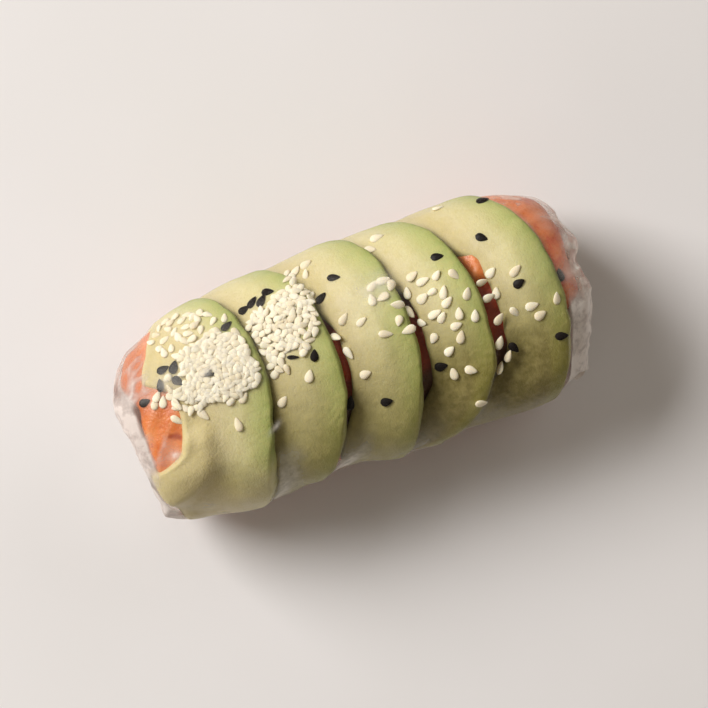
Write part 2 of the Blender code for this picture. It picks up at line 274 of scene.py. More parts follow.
def make_slice(name, cut, number):
    """One avocado slice in full detail, with how far each point lies across it and along it."""
    rings, round_count = 150, 72
    q = np.sin(np.linspace(-math.pi / 2, math.pi / 2, rings + 2)) * 0.25 + np.linspace(-1, 1, rings + 2) * 0.75
    psi = mix(-cut["tip_far"], cut["tip_near"], (q + 1) / 2)[:, None]
    turn = (np.arange(round_count) / round_count * 2 * math.pi)[None, :]
    turn = turn - 0.12 * np.sin(2 * turn)                      # more points near both edges
    across = (1 - np.cos(turn)) / 2
    width, taper = slice_width(cut, psi)
    skin = skin_edge(cut, psi)
    # the first slice runs out to the roll's end, and turns in towards its tip
    leftmost = -51.8 + 2.8 * smooth(40.0, 78.0, psi)
    width = np.minimum(width, skin - leftmost)
    width, taper = np.maximum(width, 1e-4), np.maximum(taper, 0.0)
    far_fade, near_fade = smooth(-42.0, -80.0, psi), smooth(58.0, 88.0, psi)
    near_rise = smooth(8.0, 34.0, psi)                                  # the skin edge stands up, near side
    skin_top = mix(mix(-0.55 - 0.6 * near_rise, 0.15, far_fade), -0.1, near_fade)
    pit_top = mix(mix(1.7 + 1.2 * near_rise, 1.0, far_fade), 1.5, near_fade)
    if number == 1:
        pit_top = 0.6 + 0.0 * pit_top                                   # it isn't tucked under another
    top = mix(pit_top, skin_top, smooth(-0.05, 0.62 + 0.25 * near_rise, across))
    low = mix(4.4, 3.9, across)
    middle, half = (top + low) / 2, (low - top) / 2
    thin = 0.35 + 0.65 * taper ** 0.8
    # round edges, but the skin's turns into a slanting cut on the near side
    cut_side = smooth(20.0, 42.0, psi) * (1 - smooth(88.0, 104.0, psi))
    bevel = mix(0.8, 2.1 if number == 1 else 1.5, cut_side)
    rounded = 1.0
    for inset, radius, flat_cut in ((width * across, 1.3, 0.0), (width * (1 - across), bevel, 0.8 * cut_side)):
        part = np.clip(inset / radius, 0.0, 1.0)
        rounded = rounded * mix(np.sqrt(1.0 - (1.0 - part) ** 2), part, flat_cut)
    side = np.sign(np.sin(turn)) * rounded
    ends = smooth(0.0, 0.12, taper)
    depth = middle * mix(0.55, 1.0, taper) - side * half * thin * ends
    x = skin - width * (1 - across)
    wobble = np.stack(np.broadcast_arrays(psi / 8.0, np.float64(number) * 3.1, 0.0 * across), axis=-1)
    x = x + 0.3 * noise(wobble, 1.0, 3) * taper                # edges aren't ruled lines
    flat = inside(x, psi, np.full_like(depth, 1.0))
    upper = smooth(-0.2, 0.6, side)
    lumps = 0.20 * noise(flat, 8.0, number) + 0.09 * noise(flat, 3.1, number + 9) + 0.035 * noise(flat, 1.2, number + 17)
    depth = depth + lumps * (0.4 + 0.6 * upper) * taper
    # a knife leaves shallow flats along the skin edge
    depth = depth + 0.10 * smooth(0.72, 0.95, across) * noise(
        np.stack(np.broadcast_arrays(psi / 17.0, across * 3.0, np.float64(number)), axis=-1), 1.0, 31) * taper
    if number == 1:
        # the near half is pressed into a broad lobe: a flat band along the edge, then a hollow
        rho = ((np.abs(flat[..., 0] + 53.0) / 16.2) ** 3 + (np.maximum(-flat[..., 1], 0.0) / 16.8) ** 3) ** (1 / 3)
        beyond = (rho - 1.0) * 16.0
        lobe = smooth(4.0, 16.0, psi) * (1 - smooth(62.0, 84.0, psi))
        lower = 0.35 + 0.65 * smooth(-6.0, -12.0, flat[..., 1])
        band = 1.2 * (1 - smooth(-0.6, 3.0, beyond)) * smooth(-10.0, -2.0, beyond)
        hollow = (0.9 * bump(beyond, 4.2, 3.2) + 0.3 * bump(beyond, 8.5, 5.0)) * lower
        depth = depth + upper * lobe * (hollow - band)
        sunk = bump(flat[..., 0], -39.0, 6.5) * bump(flat[..., 1], -18.5, 6.0)      # it sags before the skin edge
        depth = depth + 0.9 * upper * sunk
        inner = width * across
        rim = bump(inner, 1.2, 1.2) * (1 - smooth(10.0, 40.0, psi))
        depth = depth - 0.35 * rim * upper * taper
    if number == 2:
        # fine wrinkles across the near part of the skin edge
        patch = bump(flat[..., 0], -10.5, 4.6) * bump(flat[..., 1], -9.0, 4.0)
        depth = depth + 0.15 * patch * upper * np.sin((flat[..., 1] - 0.55 * flat[..., 0]) * 4.2)
    depth = depth + 0.3 * smooth(46.0, 52.5, np.abs(x))
    points = inside(x, psi, depth)
    ring_points = points[1:-1].reshape(-1, 3)
    poles = np.stack([points[0].mean(axis=0), points[-1].mean(axis=0)])
    verts = np.concatenate([ring_points, poles])
    quads, tris = ball_faces(rings, round_count)
    quads, tris = outward(verts, quads, tris)

    def attribute(values):
        values = np.broadcast_to(values, (rings + 2, round_count))
        return np.concatenate([values[1:-1].ravel(), [values[0, 0], values[-1, 0]]])

    # painted shade: darker right where the slice before lies on this one, and more broadly beside its edge on the third
    # to fifth slices
    crevice_shade = 0.0 * x
    if number > 1:
        before = list(SLICES.values())[number - 2]
        crevice_shade = bump(x - skin_edge(before, psi), 0.1, 1.0) * smooth(-75.0, -50.0, psi)
        crevice_shade = crevice_shade + (0.0, 0.0, 0.10, 0.42, 0.44)[number - 1] * bump(x - skin_edge(before, psi), 2.0, 3.6) * bump(psi, 2.0, 20.0)
    # painted shade: darker away from the skin on the near side, where each slice lies below the raised edge of the one
    # before, most on the fourth and fifth slices
    shade = (0.22 + 0.78 * smooth(-25.0, 15.0, psi)) * smooth(2.5, 7.0, width * (1 - across)) * (number > 1)
    shade = shade * (1.0 + (0.0, 0.0, 0.1, 1.05, 0.95)[number - 1] * smooth(0.0, 46.0, psi))
    attributes = {
        "crevice_shade": attribute(crevice_shade),
        "shade": attribute(shade),
        "across": attribute(across),
        # on the first slice's near side the distance is raised by 5.5 mm, so its slanted cut is painted paler: painted
        # light where it faces away from the key lamp
        "from_skin": attribute(width * (1 - across) + 5.5 * (number == 1) * smooth(30.0, 50.0, psi)),
        "from_pit": attribute(width * across),
        "run": attribute(psi / 100.0),
        "upper": attribute(side),
        # low: partly the fruit's greener colour where it turns under, partly painted shade on the near side and in the
        # hollow of the first slice's lobe
        "low": attribute((0.1, 1.4, 1.4, 2.7, 2.3)[number - 1] * smooth(-18.0, 56.0, psi)
                         + 0.9 * (number == 1) * bump(flat[..., 0], -33.0, 4.6) * bump(flat[..., 1], -17.0, 4.6)),
    }
    return new_object(f"{name}_slice", verts, quads, tris, attributes), verts, quads, tris


def slice_cover(x, psi):
    """1 where avocado lies over the salmon, from a little inside the slices' outer edges."""
    cover = np.ones(np.broadcast(x, psi).shape)
    first, last = SLICES["avocado_1"], SLICES["avocado_5"]
    for step in (-5.0, 0.0, 4.0):
        at = np.clip(psi + step, -98.0, 100.0)
        left = skin_edge(first, at) - slice_width(first, at)[0]
        right = skin_edge(last, at)
        window = smooth(left + 1.0, left + 4.5, x) * (1 - smooth(right - 4.5, right - 1.0, x))
        cover = np.minimum(cover, window)
    return cover * smooth(-118.0, -104.0, psi) * (1 - smooth(106.0, 120.0, psi))


def make_salmon():
    """The salmon fills the form, with its ends cut: straight at the left, at a slant at the right."""
    rings, round_count = 190, 190
    along = np.linspace(-1, 1, rings + 2)[:, None]
    psi = (np.arange(round_count) / round_count * 360.0 - 180.0)[None, :]
    step = np.abs(along)
    power = end_power(along, psi)
    bend = np.clip((step - 0.70) / 0.06, 0.0, 1.0) * math.pi / 2     # the cut's edge, rounded over a millimetre
    face = np.clip((step - 0.76) / 0.24, 0.0, 1.0)
    nominal = np.minimum(step / 0.70, 1.0) * (SALMON_LEFT - 1.0) + np.sin(bend)
    x = np.sign(along) * nominal * np.where(along < 0, 1.0, SALMON_RIGHT / SALMON_LEFT) + 0.0 * psi
    for _ in range(3):
        fill = (1.0 - np.minimum(np.abs(x) / HALF_LENGTH, 0.999) ** power) ** (1.0 / power)
        radius = np.maximum(radius_at(x, psi) * fill - 1.1 * (1 - np.cos(bend)), 0.0) * (1 - face)
        y = -radius * np.sin(np.radians(psi)) + SHIFT[1]
        left = SALMON_LEFT + 1.8 * bump(y, 12.0, 3.5) - 0.9 * bump(y, 4.5, 2.5) + 0.6 * bump(y, -6.5, 3.0)
        left = left - 4.5 * smooth(-12.5, -18.0, y)
        ragged = 1.6 * noise(np.stack(np.broadcast_arrays(y, 0.0 * y, 0.0 * y), axis=-1), 3.4, 47)
        right = SALMON_RIGHT - 9.0 * smooth(-2.5, -12.0, y + ragged) - 5.0 * smooth(-14.0, -20.0, y) + 0.7 * ragged
        x = np.sign(along) * nominal / SALMON_LEFT * np.where(along < 0, left, right)
    cover = slice_cover(x, psi)
    spot = place(x, radius, psi)
    rough = 0.35 * noise(spot, 7.0, 40) + 0.18 * noise(spot, 2.6, 41) + 0.07 * noise(spot, 1.0, 42)
    grain = noise(spot * np.array([0.35, 1.0, 1.0]) + 2.0 * noise(spot, 9.0, 43)[..., None], 2.2, 44)
    # it stands up higher in the gap before the last slice
    raised = bump(spot[..., 0], 32.0, 3.8) * smooth(4.5, 8.5, spot[..., 1]) * (1 - smooth(15.0, 19.0, spot[..., 1]))
    middle_gap = bump(spot[..., 0], -3.0, 2.0) * smooth(-8.0, -5.0, spot[..., 1]) * (1 - smooth(5.0, 8.0, spot[..., 1]))
    bed = BED - 3.3 * raised - 1.7 * middle_gap
    depth = mix(1.25, bed, cover) + rough * mix(0.6, 1.3, cover) - 0.14 * np.abs(grain)
    points = place(x, np.maximum(radius - depth * (1 - face), 0.0), psi)
    end_lumps = 0.4 * noise(spot, 5.0, 45) * face
    points[..., 0] -= np.sign(along) * np.abs(end_lumps)
    points[..., 2] = np.maximum(points[..., 2], 1.75)
    verts = np.concatenate([points[1:-1].reshape(-1, 3), [points[0].mean(axis=0), points[-1].mean(axis=0)]])
    quads, tris = ball_faces(rings, round_count)
    quads, tris = outward(verts, quads, tris)
    edge = skin_edge(SLICES["avocado_1"], psi) - slice_width(SLICES["avocado_1"], psi)[0]
    # painted shade: the salmon under the slices, seen in the gaps between them, is painted a darker red
    deep_shade = cover * smooth(edge + 3.0, edge + 8.0, x) * (1 - raised)
    thin = smooth(43.0, 49.0, points[..., 0])                  # painted light: the right end coloured as if lit through
    # painted shade: darker still low on the near side of the gaps and in the upper part of the gap before the fourth
    # slice
    dim_shade = deep_shade * np.clip(smooth(-7.0, -10.5, points[..., 1]) + bump(points[..., 0], 16.0, 4.0) * smooth(3.0, 5.0, points[..., 1]), 0, 1)
    # painted shade: the salmon is darkened at the upper left, where the key lamp falls on it hardest
    lamp_side_shade = smooth(-1.0, 6.0, points[..., 1]) * smooth(-42.0, -46.0, points[..., 0])
    torn = noise(points, 1.3, 48)
    stain = bump(points[..., 0] + 0.9 * torn, -43.3, 1.5) * bump(points[..., 1] - 0.9 * torn, -3.6, 1.1) * (points[..., 2] > 25.0)
    pole = [0.0, 0.0]
    return new_object("salmon", verts, quads, tris, {
        "deep_shade": np.concatenate([deep_shade[1:-1].ravel(), pole]),
        "dim_shade": np.concatenate([dim_shade[1:-1].ravel(), pole]),
        "thin": np.concatenate([thin[1:-1].ravel(), pole]),
        "lamp_side_shade": np.concatenate([lamp_side_shade[1:-1].ravel(), pole]),
        "stain": np.concatenate([stain[1:-1].ravel(), pole])}), verts, quads, tris


# ---------------------------------------------------------------- colours and materials
def srgb(r, g, b, alpha=1.0):
    def linear(c):
        c /= 255.0
        return c / 12.92 if c <= 0.04045 else ((c + 0.055) / 1.055) ** 2.4
    return (linear(r), linear(g), linear(b), alpha)


class Nodes:
    """Small helper to write a node tree as code."""

    def __init__(self, name):
        self.mat = bpy.data.materials.new(name)
        self.mat.use_nodes = True
        self.tree = self.mat.node_tree
        self.tree.nodes.clear()
        self.out = self.tree.nodes.new("ShaderNodeOutputMaterial")

    def node(self, kind, inputs=None, **settings):
        n = self.tree.nodes.new("ShaderNode" + kind)
        for key, value in settings.items():
            setattr(n, key, value)
        for key, value in (inputs or {}).items():
            self.put(n.inputs[key], value)
        return n

    def put(self, socket, value):
        if isinstance(value, bpy.types.NodeSocket):
            self.tree.links.new(value, socket)
        else:
            socket.default_value = value

    def math(self, operation, a, b=0.0, c=0.0, clamp=False):
        n = self.tree.nodes.new("ShaderNodeMath")
        n.operation, n.use_clamp = operation, clamp
        for socket, value in zip(n.inputs, (a, b, c)):
            self.put(socket, value)
        return n.outputs[0]

    def remap(self, value, low, high, to_low=0.0, to_high=1.0, soft=True):
        n = self.node("MapRange", {0: value, 1: low, 2: high, 3: to_low, 4: to_high})
        n.interpolation_type = "SMOOTHSTEP" if soft else "LINEAR"
        return n.outputs[0]

    def blend(self, fac, a, b, kind="MIX"):
        n = self.node("Mix", data_type="RGBA", blend_type=kind)
        self.put(n.inputs[0], fac)
        self.put(n.inputs[6], a)
        self.put(n.inputs[7], b)
        return n.outputs[2]

    def ramp(self, value, stops):
        n = self.node("ValToRGB")
        ramp = n.color_ramp
        while len(ramp.elements) < len(stops):
            ramp.elements.new(0.5)
        for element, (spot, colour) in zip(ramp.elements, stops):
            element.position, element.color = spot, colour
        self.put(n.inputs[0], value)
        return n.outputs[0]

    def attribute(self, name):
        n = self.node("Attribute")
        n.attribute_name = name
        return n.outputs["Fac"]

    def place(self, scale=1000.0, stretch=(1.0, 1.0, 1.0)):
        at = self.node("TexCoord").outputs["Object"]
        n = self.node("Mapping", {"Vector": at, "Scale": tuple(scale * s for s in stretch)})
        return n.outputs[0]

    def grain(self, where, scale, detail=3.0, rough=0.55, distortion=0.0):
        return self.node("TexNoise", {"Vector": where, "Scale": scale, "Detail": detail,
                                      "Roughness": rough, "Distortion": distortion}).outputs[0]

    def bump(self, height, distance, strength=1.0, normal=None):
        n = self.node("Bump", {"Height": height, "Distance": distance, "Strength": strength})
        if normal is not None:
            self.put(n.inputs["Normal"], normal)
        return n.outputs[0]

    def finish(self, shader):
        self.tree.links.new(shader, self.out.inputs["Surface"])
        return self.mat


def avocado_material():
    m = Nodes("avocado_flesh")
    where = m.place()
    across, from_skin, upper = m.attribute("across"), m.attribute("from_skin"), m.attribute("upper")
    drift = m.grain(where, 0.16, 3.0)
    edge = m.math("ADD", from_skin, m.math("MULTIPLY", m.math("SUBTRACT", drift, 0.5), 3.0))
    # from the green under the skin to the pale yellow round the stone, by distance in mm
    flesh = m.ramp(m.math("DIVIDE", edge, 15.5), [
        (0.00, srgb(124, 138, 66)),
        (0.05, srgb(154, 165, 90)),
        (0.16, srgb(180, 186, 116)),
        (0.31, srgb(200, 200, 136)),
        (0.50, srgb(221, 213, 163)),
        (0.80, srgb(221, 208, 164)),
        (1.00, srgb(212, 196, 148))])
    # greener and darker where it turns under, towards the narrow end of the fruit: partly the fruit's own colour,
    # partly painted shade on the side turned away from the key lamp and in the first slice's hollow
    flesh = m.blend(m.math("MULTIPLY", m.attribute("low"), 0.52), flesh, srgb(142, 137, 62))
    # painted shade from the shade attribute, deepest low on the near side of the fourth and fifth slices
    flesh = m.blend(m.math("MULTIPLY", m.attribute("shade"), 0.36), flesh, srgb(138, 124, 72))
    flesh = m.blend(m.remap(m.attribute("shade"), 1.0, 2.1, 0.0, 0.62), flesh, srgb(106, 94, 50))
    # painted shade in the crevice beside the slice before
    flesh = m.blend(m.math("MULTIPLY", m.attribute("crevice_shade"), 0.62), flesh, srgb(108, 98, 48))
    mottle = m.grain(where, 0.55, 4.0, 0.6)
    flesh = m.blend(m.remap(mottle, 0.35, 0.75, 0.0, 0.30), flesh, srgb(205, 190, 128))
    veins = m.grain(m.place(1000.0, (1.6, 0.5, 0.5)), 1.0, 3.0, 0.6, 0.6)
    flesh = m.blend(m.remap(veins, 0.58, 0.72, 0.0, 0.14), flesh, srgb(186, 176, 104))
    fine = m.grain(where, 2.6, 3.0, 0.6)
    height = m.math("ADD", m.math("MULTIPLY", mottle, 0.6), m.math("MULTIPLY", fine, 0.25))
    fibre = m.grain(m.place(1000.0, (1.2, 0.45, 0.45)), 2.4, 4.0, 0.65)
    flesh = m.blend(m.remap(fibre, 0.35, 0.65, 0.0, 0.16), flesh, srgb(176, 164, 104))
    height = m.math("ADD", height, m.math("MULTIPLY", fibre, 0.35))
    normal = m.bump(height, 0.0006, 0.6)
    shader = m.node("BsdfPrincipled", {
        "Base Color": flesh,
        "Roughness": m.remap(mottle, 0.3, 0.7, 0.55, 0.7),
        "Normal": normal,
        "Subsurface Weight": 0.18,
        "Subsurface Radius": (1.0, 0.8, 0.35),
        "Subsurface Scale": 0.0012,
        "Specular IOR Level": 0.22})
    return m.finish(shader.outputs[0])


def salmon_material():
    m = Nodes("salmon_flesh")
    where = m.place()
    patches = m.grain(where, 0.18, 3.0)
    flesh = m.ramp(patches, [
        (0.30, srgb(212, 110, 52)),
        (0.48, srgb(224, 128, 64)),
        (0.62, srgb(230, 140, 78)),
        (0.78, srgb(234, 158, 106))])
    bent = m.node("Mapping", {"Vector": where, "Rotation": (0.5, 0.35, 0.9)}).outputs[0]
    lines = m.node("TexWave", {"Vector": bent, "Scale": 0.075, "Distortion": 5.5, "Detail": 2.0,
                               "Detail Scale": 0.35}).outputs["Fac"]
    flesh = m.blend(m.remap(lines, 0.80, 0.97, 0.0, 0.16), flesh, srgb(238, 182, 144))
    dark = m.grain(where, 0.42, 3.0)
    flesh = m.blend(m.remap(dark, 0.62, 0.74, 0.0, 0.5), flesh, srgb(172, 70, 38))
    # painted shade in the gaps between the slices
    deep_shade = m.attribute("deep_shade")
    flesh = m.blend(m.remap(deep_shade, 0.3, 1.0, 0.0, 0.8), flesh, srgb(206, 64, 38))
    # painted shade low in the gaps
    flesh = m.blend(m.math("MULTIPLY", m.attribute("dim_shade"), 0.85), flesh, srgb(92, 74, 40))
    flesh = m.blend(m.remap(m.attribute("stain"), 0.15, 0.95, 0.0, 0.85), flesh, srgb(158, 52, 22))
    # painted light: the right end tinted deeper orange as if lit through, with darker spots
    flesh = m.blend(m.math("MULTIPLY", m.attribute("thin"), 0.6), flesh, srgb(202, 104, 54))
    # painted shade where the key lamp falls hardest
    flesh = m.blend(m.math("MULTIPLY", m.attribute("lamp_side_shade"), 0.55), flesh, srgb(182, 92, 44))
    spots = m.math("MULTIPLY", m.attribute("thin"), m.remap(m.grain(where, 0.30, 4.0, 0.6), 0.50, 0.62, 0.0, 0.75))
    flesh = m.blend(spots, flesh, srgb(202, 84, 44))
    fine = m.grain(where, 1.5, 4.0)
    height = m.math("ADD", m.math("MULTIPLY", lines, 0.5), m.math("MULTIPLY", fine, 0.5))
    shader = m.node("BsdfPrincipled", {
        "Base Color": flesh,
        "Roughness": m.remap(fine, 0.3, 0.7, 0.26, 0.42),
        "Normal": m.bump(height, 0.0006, 0.6),
        "Subsurface Weight": 0.2,
        "Subsurface Radius": (1.0, 0.45, 0.25),
        "Subsurface Scale": 0.0015})
    return m.finish(shader.outputs[0])


def seed_material(name, light, dark, roughness):
    m = Nodes(name)
    tint, tip = m.attribute("tint"), m.attribute("tip")
    body = m.blend(tint, light, dark)
    where = m.place()
    speck = m.grain(where, 4.0, 3.0)
    body = m.blend(m.remap(speck, 0.4, 0.8, 0.0, 0.35), body, dark)
    body = m.blend(m.remap(tip, 0.82, 1.0, 0.0, 0.45), body, dark)
    shader = m.node("BsdfPrincipled", {
        "Base Color": body, "Roughness": m.remap(speck, 0.2, 0.8, roughness, roughness + 0.15),
        "Normal": m.bump(m.grain(where, 6.0, 2.0), 0.00008, 0.6),
        "Subsurface Weight": 0.25,
        "Subsurface Radius": (1.0, 0.8, 0.5),
        "Subsurface Scale": 0.0007,
        "Specular IOR Level": 0.15})
    return m.finish(shader.outputs[0])


def film_material():
    m = Nodes("wet_rice_paper")
    where = m.place()
    haze = m.attribute("haze")
    cloud = m.grain(where, 0.35, 4.0, 0.6)
    fleck = m.grain(where, 1.4, 3.0, 0.6)
    solid = m.math("MULTIPLY", haze, m.remap(cloud, 0.3, 0.7, 0.65, 1.3))
    solid = m.math("ADD", solid, m.remap(fleck, 0.6, 0.8, 0.0, 0.008), clamp=True)
    height = m.math("ADD", m.math("MULTIPLY", cloud, 0.7), m.math("MULTIPLY", fleck, 0.3))
    normal = m.bump(height, 0.0005, 0.3)
    # hardly tinted, but duller in the loose pockets at the ends
    colour = m.blend(m.attribute("dull"), srgb(246, 241, 232), srgb(226, 214, 205))
    milk = m.node("BsdfDiffuse", {"Color": colour, "Normal": normal}).outputs[0]
    glow = m.node("BsdfTranslucent", {"Color": colour, "Normal": normal}).outputs[0]
    body = m.node("MixShader", {0: m.remap(haze, 0.4, 0.9, 0.45, 0.12), 1: milk, 2: glow}).outputs[0]
    clear = m.node("BsdfTransparent", {"Color": (0.985, 0.98, 0.965, 1.0)}).outputs[0]
    sheet = m.node("MixShader", {0: solid, 1: clear, 2: body}).outputs[0]
    gloss = m.node("BsdfGlossy", {"Color": (1.0, 1.0, 1.0, 1.0), "Roughness": 0.42, "Normal": normal}).outputs[0]
    shine = m.math("MINIMUM", m.node("Fresnel", {"IOR": 1.18, "Normal": normal}).outputs[0], 0.14)
    wet = m.node("MixShader", {0: shine, 1: sheet, 2: gloss}).outputs[0]
    return m.finish(wet)


def floor_material():
    m = Nodes("pale_floor")
    where = m.place(1.0)
    cloud = m.grain(where, 9.0, 3.0)
    colour = m.blend(m.remap(cloud, 0.3, 0.7, 0.0, 1.0), srgb(228, 224, 221), srgb(231, 227, 225))
    shader = m.node("BsdfPrincipled", {"Base Color": colour, "Roughness": 0.6, "Specular IOR Level": 0.2})
    return m.finish(shader.outputs[0])


# ---------------------------------------------------------------- what lies under the sheet
solids = []
slice_objects = []
avocado = avocado_material()
for number, (name, cut) in enumerate(SLICES.items(), start=1):
    obj, verts, quads, tris = make_slice(name, cut, number)
    obj.data.materials.append(avocado)
    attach(obj, "root")
    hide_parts(name)
    slice_objects.append(obj)
    solids.append((verts, quads, tris))

salmon, verts, quads, tris = make_salmon()
salmon.data.materials.append(salmon_material())
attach(salmon, "root")
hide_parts("filling")
solids.append((verts, quads, tris))


def search_tree(parts):
    points, faces, start = [], [], 0
    for v, q, t in parts:
        points.extend(map(tuple, v))
        faces.extend((q + start).tolist())
        faces.extend((t + start).tolist())
        start += len(v)
    return BVHTree.FromPolygons(points, faces)


bare = search_tree(solids)

# ---------------------------------------------------------------- sesame seeds
EYE = Vector((0.0, 0.0, 700.0))          # seeds are laid out as seen from above
SEED = dict(length=2.95, width=1.8, thick=0.8)


def seed_shape():
    """One sesame seed: a flattened drop, pointed at +X, its middle at the origin."""
    rings, round_count = 9, 12
    t = np.linspace(0, 1, rings + 2)[:, None]
    a = (np.arange(round_count) / round_count * 2 * math.pi)[None, :]
    girth = np.sin(math.pi * t ** 0.86) ** 0.62 * (1.0 - 0.42 * t)
    girth = girth / girth.max()
    x = (t - 0.46) * SEED["length"] + 0 * a
    y = girth * np.cos(a) * SEED["width"] / 2
    z = girth * np.sin(a) * SEED["thick"] / 2
    points = np.stack(np.broadcast_arrays(x, y, z), axis=-1)
    verts = np.concatenate([points[1:-1].reshape(-1, 3), [points[0, 0], points[-1, 0]]])
    quads, tris = ball_faces(rings, round_count)
    quads, tris = outward(verts, quads, tris)
    tip = (verts[:, 0] / SEED["length"]) + 0.46
    return verts, quads, tris, tip


class Seeds:
    """Many seeds of one kind as one joined mesh."""

    def __init__(self, name, seed):
        self.name, self.random = name, np.random.default_rng(seed)
        self.shape = seed_shape()
        self.verts, self.tint, self.tip, self.spots, self.room = [], [], [], [], []

    def add(self, x, y, angle=None, others=(), lift=0.0, spacing=0.0, tilt=6.0, size=1.0, on_edge=0.0, room=2.25):
        """Lays a seed where the eye above sees the plan point (x, y), turned by angle in degrees."""
        r = self.random
        angle = r.uniform(0, 360) if angle is None else angle
        way = Vector((x, y + SHIFT[1], 22.5)) - EYE
        hit, normal, _, _ = bare.ray_cast(EYE, way.normalized())
        if hit is None:
            return False
        # over a gap between slices a seed lies at the sheet's level
        over = hit.z - AXIS_HEIGHT
        turn = math.degrees(math.atan2(-(hit.y - SHIFT[1]), over))
        depth = float(radius_at(np.float64(hit.x), np.float64(turn))) - math.hypot(hit.y - SHIFT[1], over)
        if depth > 2.4 and abs(hit.x) < 45.0:
            hit = hit - way.normalized() * (depth - 1.3) / max(math.cos(math.radians(turn)), 0.5)
        near = 0
        for group in (self, *others):
            for other, clear in zip(group.spots, group.room):
                gap = (other - hit).length
                if gap < (spacing if group is self else max(spacing, clear)):
                    return False
                near += gap < 1.9
        n = Vector(normal).normalized()
        if n.z < 0:
            n = -n
        n = (n * 0.8 + Vector((0, 0, 0.2))).normalized()
        a = math.radians(angle)
        along = Vector((math.cos(a), math.sin(a), 0.0))
        along = (along - n * along.dot(n)).normalized()
        tip_over = math.radians(r.normal(0, tilt))
        along = (along * math.cos(tip_over) + n * math.sin(tip_over)).normalized()
        side = n.cross(along).normalized()
        roll = math.radians(on_edge + r.normal(0, tilt * 1.5))
        side = (side * math.cos(roll) + along.cross(side) * math.sin(roll)).normalized()
        up = along.cross(side)
        scale = np.array([r.normal(1.0, 0.06), r.normal(1.0, 0.07), r.normal(1.0, 0.1)]) * size
        height = SEED["thick"] * 0.26 + lift + min(near, 2) * 0.20
        centre = hit + n * height
        frame_of = np.array([along, side, up])
        verts = self.shape[0] * scale @ frame_of + np.array(centre)
        self.verts.append(verts)
        self.tint.append(np.full(len(verts), np.clip(r.normal(0.3, 0.22), 0, 1)))
        self.tip.append(self.shape[3])
        self.spots.append(hit.copy())
        self.room.append(room)
        return True

    def build(self, material):
        count, size = len(self.verts), len(self.shape[0])
        starts = (np.arange(count) * size)[:, None, None]
        quads = (self.shape[1][None] + starts).reshape(-1, 4)
        tris = (self.shape[2][None] + starts).reshape(-1, 3)
        verts = np.concatenate(self.verts)
        obj = new_object(self.name, verts, quads, tris,
                         {"tint": np.concatenate(self.tint), "tip": np.concatenate(self.tip)})
        obj.data.materials.append(material)
        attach(obj, "root")
        return obj, verts, quads, tris


black = Seeds("black_sesame", 5)
white = Seeds("white_sesame", 8)

# black seeds, each by its plan point in mm and the way it points
for x, y, angle in ((-42.0, 12.0, 5), (-39.5, 11.6, 60), (-43.7, 8.7, 80), (-39.7, 8.5, -50), (-48.4, 6.4, 0),
                    (-32.0, 7.3, -15), (-25.1, 16.3, 30), (-20.1, 18.4, 20), (-17.8, 19.3, 45), (-15.7, 18.9, 55), (-13.7, 20.4, -25),
                    (-2.8, 14.9, 32), (1.5, 18.4, -25), (-13.3, 4.6, -18), (-8.6, 3.2, 70), (25.1, 14.8, -12),
                    (36.1, 15.5, -40), (39.1, 23.2, 10), (40.5, 2.8, 15), (49.9, 1.3, 80), (45.5, -11.6, -15),
                    (34.5, -10.3, -65), (17.5, -8.8, 0), (3.2, -12.1, 0), (-4.7, -9.7, 65)):
    buried = (x, y) == (-32.0, 7.3)                            # half hidden by the first drift
    black.add(x, y, angle, tilt=4.0, size=1.06, on_edge=78.0 if buried or (x, y) == (-13.3, 4.6) else 0.0,
              room=1.35 if buried else 2.25)

# loose white seeds, in plan
for x, y, angle in ((29.1, 25.0, 15), (13.7, 23.4, 5), (-3.4, 23.2, 20), (-6.1, 22.6, 60), (11.4, 21.5, -30),
                    (18.3, 12.6, 20), (23.6, 10.8, 40), (27.4, 9.8, -60), (16.1, 9.3, 75), (18.8, 7.0, 20),
                    (23.8, 6.6, 65), (23.8, 4.3, 30), (28.7, 4.5, 60), (20.2, 2.8, 10), (21.5, 1.4, 40),
                    (25.5, 0.9, 75), (28.7, -0.8, 70), (24.0, -4.2, 60), (20.5, -6.2, 25), (23.6, -11.8, -30), (23.2, -19.7, -15), (30.1, -13.9, 60),
                    (19.8, -11.4, 80), (35.3, 7.2, 30), (32.7, 6.0, 0), (40.7, 5.7, 30), (35.0, 2.4, 70),
                    (32.9, 2.1, 10), (33.5, -3.3, 40), (37.5, -2.9, -65), (41.5, -3.0, 0), (42.6, -5.6, 15),
                    (47.4, -3.4, 75), (31.8, -8.4, 55), (32.7, -11.9, 45), (14.9, 5.3, -65), (4.0, 6.8, 20),
                    (0.4, 8.7, 40), (8.2, 2.4, -20), (0.8, -4.6, 5), (-2.7, 5.5, -65), (-1.1, 1.3, -70),
                    (9.1, 13.5, 30), (11.8, 13.9, 0), (-11.3, -0.8, 60), (-18.9, -4.1, 35), (-18.2, 2.4, 30),
                    (-30.1, -5.6, 90), (-36.8, -0.6, -60), (-42.9, 0.3, -50), (-46.3, 5.2, 65), (-45.3, 6.6, 50), (-44.4, 5.0, 70), (-29.7, 0.2, 30), (-27.0, -0.2, 40)):
    white.add(x, y, angle, others=(black,), tilt=6.0, size=1.07)

